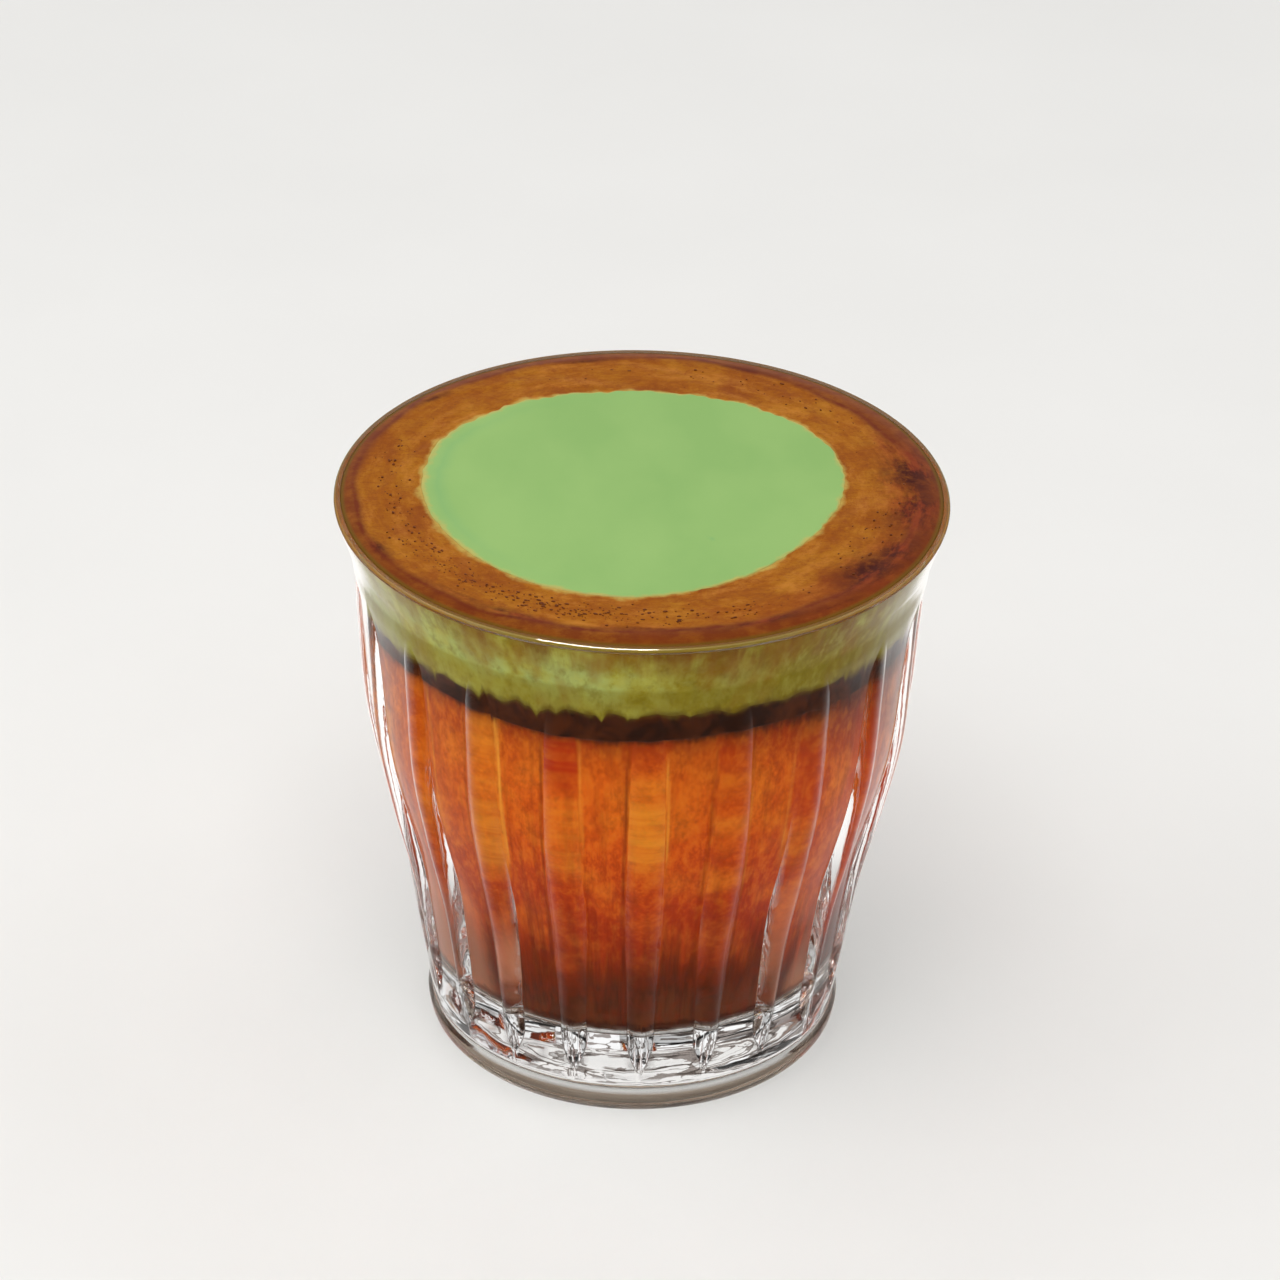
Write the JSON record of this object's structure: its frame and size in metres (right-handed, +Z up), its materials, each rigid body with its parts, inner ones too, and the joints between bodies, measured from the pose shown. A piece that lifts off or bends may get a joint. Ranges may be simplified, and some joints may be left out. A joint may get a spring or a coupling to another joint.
{
  "type": "layered iced matcha and espresso drink in a ribbed glass tumbler",
  "caption": "Ribbed clear glass tumbler filled to the brim with a layered drink: orange-brown coffee, a dark espresso band, green matcha milk, brown crema and a pale green foam disc on top.",
  "frame": {"origin": "on the table, under the middle of the glass's foot", "axes": "+Z up along the axis of the glass, -Y towards the side that the picture shows, +X to the viewer's right"},
  "size_m": [0.088, 0.088, 0.088],
  "materials": {
    "clear_glass": "clear pressed glass, polished",
    "coffee": "cloudy orange-brown coffee seen through glass, liquid",
    "espresso": "dark espresso, liquid",
    "matcha_milk": "opaque olive-green matcha milk with brown streaks, liquid",
    "crema": "satin brown crema with small bubbles",
    "matcha_foam": "smooth pale green foam, satin"
  },
  "bodies": {
    "root": {"glass": "clear_glass", "coffee": "coffee", "espresso_band": "espresso", "matcha_milk": "matcha_milk", "crema": "crema", "matcha_foam": "matcha_foam"}
  },
  "joints": []
}
